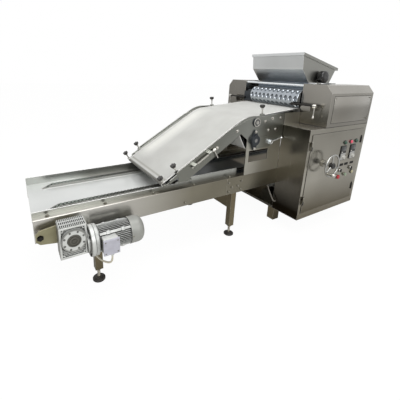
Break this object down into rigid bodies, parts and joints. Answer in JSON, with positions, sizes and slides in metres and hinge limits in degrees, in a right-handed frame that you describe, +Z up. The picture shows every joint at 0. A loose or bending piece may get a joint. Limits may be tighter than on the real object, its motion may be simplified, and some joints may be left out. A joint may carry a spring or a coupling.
{
  "type": "soft biscuit rotary moulder with tray conveyor",
  "caption": "Stainless rotary moulding machine: dough hopper over an engraved die roller, canvas extraction belt down to a chain conveyor for baking trays, side cabinets with controls.",
  "frame": {"origin": "middle of the machine's floor area, on the floor", "axes": "+X from the tray discharge end to the moulding head, -Y towards the operator, +Z up"},
  "size_m": [2.271, 1.1204, 1.244],
  "materials": {
    "stainless": "fine brushed stainless sheet",
    "stainless_frame": "satin stainless profile",
    "polished_roller": "bright engraved metal",
    "roller_steel": "turned steel",
    "canvas": "woven cotton belt",
    "cast_silver": "silver-painted casting",
    "lid_grey": "moulded lid",
    "arm_olive": "painted plate",
    "dark_iron": "dark painted iron",
    "chain_steel": "oiled chain",
    "black_plastic": "black moulding",
    "grey_plastic": "grey moulding",
    "cable_cream": "cream sheath",
    "foot_rubber": "dark moulded foot",
    "bright_steel": "bright steel",
    "lamp_glass": "lens",
    "button_red": "red cap",
    "button_green": "green cap"
  },
  "bodies": {
    "frame": {"side_channels": "stainless_frame", "tray_rails": "stainless_frame", "conveyor_bed": "stainless", "tray_chains": "chain_steel", "leg_frames": "stainless_frame", "levelling_feet": "foot_rubber", "frame_bolts": "bright_steel", "gearbox_housing": "cast_silver", "gearbox_cover": "cast_silver", "torque_arm": "arm_olive", "motor_body": "cast_silver", "fan_cowl": "cast_silver", "terminal_box": "lid_grey", "motor_cable": "cable_cream", "incline_sides": "stainless", "slider_bed": "stainless", "belt_bars": "bright_steel", "extraction_belt": "canvas", "support_plates": "stainless", "bearing_housings": "dark_iron", "housing_near": "stainless", "far_case": "stainless", "tie_bar": "bright_steel", "hopper": "stainless", "cabinet_near": "stainless", "base_pan": "stainless", "main_motor": "cast_silver", "door_hinges": "black_plastic"},
    "tray_drive": {"tray_drive": "roller_steel"},
    "tray_idler": {"tray_idler": "roller_steel"},
    "motor_fan": {"motor_fan": "black_plastic"},
    "die_roller": {"die_roller": "polished_roller"},
    "feed_roller": {"feed_roller": "roller_steel"},
    "pressure_roller": {"pressure_roller": "roller_steel"},
    "crest_roller": {"crest_roller": "roller_steel"},
    "return_roller": {"return_roller": "roller_steel"},
    "clamp_rod_near": {"clamp_rod_near": "bright_steel"},
    "clamp_rod_far": {"clamp_rod_far": "bright_steel"},
    "belt_lever": {"belt_lever": "bright_steel"},
    "tension_screw_near": {"tension_screw_near": "bright_steel"},
    "tension_screw_far": {"tension_screw_far": "bright_steel"},
    "hopper_knob": {"hopper_knob": "black_plastic"},
    "door": {"cabinet_door": "stainless", "speed_controllers": "grey_plastic", "indicator_lamps": "lamp_glass"},
    "handwheel": {"handwheel": "bright_steel"},
    "speed_dial_left": {"speed_dial_left": "black_plastic"},
    "speed_dial_right": {"speed_dial_right": "black_plastic"},
    "selector_left": {"selector_left": "black_plastic"},
    "selector_right": {"selector_right": "black_plastic"},
    "stop_button": {"stop_button": "button_red"},
    "start_button": {"start_button": "button_green"},
    "latch_upper": {"latch_upper": "black_plastic"},
    "latch_lower": {"latch_lower": "black_plastic"},
    "edge_knob_near": {"edge_knob_near": "black_plastic"},
    "edge_knob_far": {"edge_knob_far": "black_plastic"},
    "nose_knob_near": {"nose_knob_near": "black_plastic"},
    "nose_knob_far": {"nose_knob_far": "black_plastic"},
    "crest_knob_near": {"crest_knob_near": "black_plastic"},
    "crest_knob_far": {"crest_knob_far": "black_plastic"}
  },
  "joints": [
    {"name": "tray_drive_spin", "type": "hinge", "parent": "frame", "child": "tray_drive", "pos_m": [-0.9875, 0.06425, 0.366], "axis": [0, 1, 0], "continuous": true},
    {"name": "tray_idler_spin", "type": "hinge", "parent": "frame", "child": "tray_idler", "pos_m": [1.0045, 0.06425, 0.366], "axis": [0, 1, 0], "continuous": true},
    {"name": "motor_fan_spin", "type": "hinge", "parent": "frame", "child": "motor_fan", "pos_m": [-0.7145, -0.29575, 0.316], "axis": [1, 0, 0], "continuous": true},
    {"name": "die_spin", "type": "hinge", "parent": "frame", "child": "die_roller", "pos_m": [0.6365, 0.06425, 0.92488], "axis": [0, 1, 0], "continuous": true},
    {"name": "feed_spin", "type": "hinge", "parent": "frame", "child": "feed_roller", "pos_m": [0.78245, 0.06425, 0.95488], "axis": [0, 1, 0], "continuous": true},
    {"name": "pressure_spin", "type": "hinge", "parent": "frame", "child": "pressure_roller", "pos_m": [0.6365, 0.06425, 0.78928], "axis": [0, 1, 0], "continuous": true},
    {"name": "crest_spin", "type": "hinge", "parent": "frame", "child": "crest_roller", "pos_m": [0.1835, 0.06425, 0.7898], "axis": [0, 1, 0], "continuous": true},
    {"name": "return_spin", "type": "hinge", "parent": "frame", "child": "return_roller", "pos_m": [0.1775, 0.06425, 0.673], "axis": [0, 1, 0], "continuous": true},
    {"name": "clamp_rod_near_turn", "type": "hinge", "parent": "frame", "child": "clamp_rod_near", "pos_m": [0.5675, -0.34075, 0.894], "axis": [0, 1, 0], "range_deg": [0, 90]},
    {"name": "clamp_rod_far_turn", "type": "hinge", "parent": "frame", "child": "clamp_rod_far", "pos_m": [0.5675, 0.46925, 0.894], "axis": [0, 1, 0], "range_deg": [0, 90]},
    {"name": "belt_lever_turn", "type": "hinge", "parent": "frame", "child": "belt_lever", "pos_m": [0.3285, -0.22075, 0.647], "axis": [0, 1, 0], "range_deg": [-60, 20]},
    {"name": "tension_screw_far_turn", "type": "hinge", "parent": "frame", "child": "tension_screw_far", "pos_m": [-0.3095, 0.36125, 0.55792], "axis": [0.8616, 0, 0.5075], "range_deg": [0, 180]},
    {"name": "tension_screw_near_turn", "type": "hinge", "parent": "frame", "child": "tension_screw_near", "pos_m": [-0.3095, -0.23275, 0.55792], "axis": [-0.8616, 0, -0.5075], "range_deg": [0, 180]},
    {"name": "hopper_knob_turn", "type": "hinge", "parent": "frame", "child": "hopper_knob", "pos_m": [0.8345, -0.17575, 1.081], "axis": [0, 1, 0], "continuous": true},
    {"name": "edge_knob_near_turn", "type": "hinge", "parent": "frame", "child": "edge_knob_near", "pos_m": [-0.3905, -0.20475, 0.53226], "axis": [-0.5075, 0, 0.8616], "continuous": true},
    {"name": "nose_knob_near_turn", "type": "hinge", "parent": "frame", "child": "nose_knob_near", "pos_m": [-0.47172, -0.20475, 0.4713], "axis": [-0.5075, 0, 0.8616], "continuous": true},
    {"name": "crest_knob_near_turn", "type": "hinge", "parent": "frame", "child": "crest_knob_near", "pos_m": [0.2445, -0.20475, 0.82856], "axis": [-0.0872, 0, 0.9962], "continuous": true},
    {"name": "edge_knob_far_turn", "type": "hinge", "parent": "frame", "child": "edge_knob_far", "pos_m": [-0.3905, 0.33325, 0.53226], "axis": [-0.5075, 0, 0.8616], "continuous": true},
    {"name": "nose_knob_far_turn", "type": "hinge", "parent": "frame", "child": "nose_knob_far", "pos_m": [-0.47172, 0.33325, 0.4713], "axis": [-0.5075, 0, 0.8616], "continuous": true},
    {"name": "crest_knob_far_turn", "type": "hinge", "parent": "frame", "child": "crest_knob_far", "pos_m": [0.2445, 0.33325, 0.82856], "axis": [-0.0872, 0, 0.9962], "continuous": true},
    {"name": "door_swing", "type": "hinge", "parent": "frame", "child": "door", "pos_m": [0.4751, -0.44275, 0.164], "axis": [0, 0, -1], "range_deg": [0, 110]},
    {"name": "handwheel_turn", "type": "hinge", "parent": "door", "child": "handwheel", "pos_m": [0.6485, -0.49775, 0.51], "axis": [0, 1, 0], "continuous": true},
    {"name": "speed_dial_left_turn", "type": "hinge", "parent": "door", "child": "speed_dial_left", "pos_m": [0.8675, -0.43575, 0.528], "axis": [0, 1, 0], "range_deg": [-135, 135]},
    {"name": "speed_dial_right_turn", "type": "hinge", "parent": "door", "child": "speed_dial_right", "pos_m": [0.9895, -0.43575, 0.528], "axis": [0, 1, 0], "range_deg": [-135, 135]},
    {"name": "selector_left_turn", "type": "hinge", "parent": "door", "child": "selector_left", "pos_m": [0.8695, -0.43575, 0.424], "axis": [0, 1, 0], "range_deg": [-45, 45]},
    {"name": "selector_right_turn", "type": "hinge", "parent": "door", "child": "selector_right", "pos_m": [1.0095, -0.43575, 0.424], "axis": [0, 1, 0], "range_deg": [-45, 45]},
    {"name": "stop_press", "type": "slide", "parent": "door", "child": "stop_button", "axis": [0, 1, 0], "range_m": [0, 0.005], "stiffness_N_per_m": 400},
    {"name": "start_press", "type": "slide", "parent": "door", "child": "start_button", "axis": [0, 1, 0], "range_m": [0, 0.005], "stiffness_N_per_m": 400},
    {"name": "latch_lower_turn", "type": "hinge", "parent": "door", "child": "latch_lower", "pos_m": [1.0865, -0.43575, 0.262], "axis": [0, 1, 0], "range_deg": [0, 90]},
    {"name": "latch_upper_turn", "type": "hinge", "parent": "door", "child": "latch_upper", "pos_m": [1.0865, -0.43575, 0.641], "axis": [0, 1, 0], "range_deg": [0, 90]}
  ],
  "couplings": [
    {"joint": "tray_idler_spin", "follows": "tray_drive_spin", "ratio": 1},
    {"joint": "motor_fan_spin", "follows": "tray_drive_spin", "ratio": 20},
    {"joint": "feed_spin", "follows": "die_spin", "ratio": -0.72941},
    {"joint": "pressure_spin", "follows": "die_spin", "ratio": -0.88571},
    {"joint": "crest_spin", "follows": "die_spin", "ratio": -2.0667},
    {"joint": "return_spin", "follows": "die_spin", "ratio": -0.88571}
  ]
}
